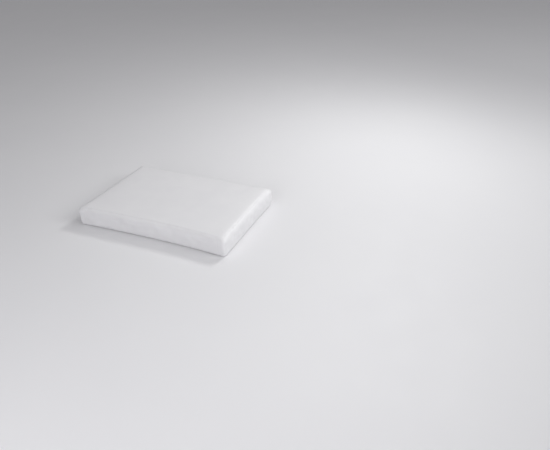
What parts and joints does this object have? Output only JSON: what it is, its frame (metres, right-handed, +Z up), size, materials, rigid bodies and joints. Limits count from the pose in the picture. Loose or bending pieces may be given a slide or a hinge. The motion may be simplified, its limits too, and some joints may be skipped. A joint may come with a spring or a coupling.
{
  "type": "bolster pillow",
  "caption": "Flat rectangular massage-table pillow: foam in a sewn white vinyl box cover that closes with a rear coil zip.",
  "frame": {"origin": "middle of the flat underside, on the plane that the pillow rests on", "axes": "+X along the long side, to the right seen from the front; +Y towards the rear long side, which holds the zip; +Z up, towards the crowned face that the head rests on"},
  "size_m": [0.3526, 0.2416, 0.043],
  "materials": {
    "vinyl": "satin",
    "foam": "matte",
    "thread": "satin",
    "zip_tape": "matte",
    "zip_coil": "satin",
    "zip_metal": "satin"
  },
  "bodies": {
    "cushion": {"top_panel": "vinyl", "base_panel": "vinyl", "front_boxing": "vinyl", "left_boxing": "vinyl", "right_boxing": "vinyl", "rear_boxing_upper": "vinyl", "rear_boxing_lower": "vinyl", "rear_end_tab_left": "vinyl", "rear_end_tab_right": "vinyl", "foam_core": "foam", "top_seam_thread": "thread", "base_seam_thread": "thread", "corner_thread_front_left": "thread", "corner_thread_front_right": "thread", "corner_thread_rear_left": "thread", "corner_thread_rear_right": "thread", "zip_stitching_upper": "thread", "zip_stitching_lower": "thread", "end_tab_stitching_left": "thread", "end_tab_stitching_right": "thread", "zip_tape_upper": "zip_tape", "zip_tape_lower": "zip_tape", "zip_coil_upper": "zip_coil", "zip_coil_lower": "zip_coil", "zip_top_stop_upper": "zip_metal", "zip_top_stop_lower": "zip_metal", "zip_bottom_stop": "zip_metal"},
    "slider": {"zip_slider": "zip_metal"},
    "pull_tab": {"zip_pull_tab": "zip_metal"}
  },
  "joints": [
    {"name": "zip_slide", "type": "slide", "parent": "cushion", "child": "slider", "axis": [-1, 0, 0], "range_m": [0, 0.273], "deforming": ["zip_coil_upper", "zip_coil_lower"]},
    {"name": "pull_tab_swing", "type": "hinge", "parent": "slider", "child": "pull_tab", "pos_m": [0.1365, 0.12105, 0.02125], "axis": [0, 0, -1], "range_deg": [0, 180]}
  ]
}
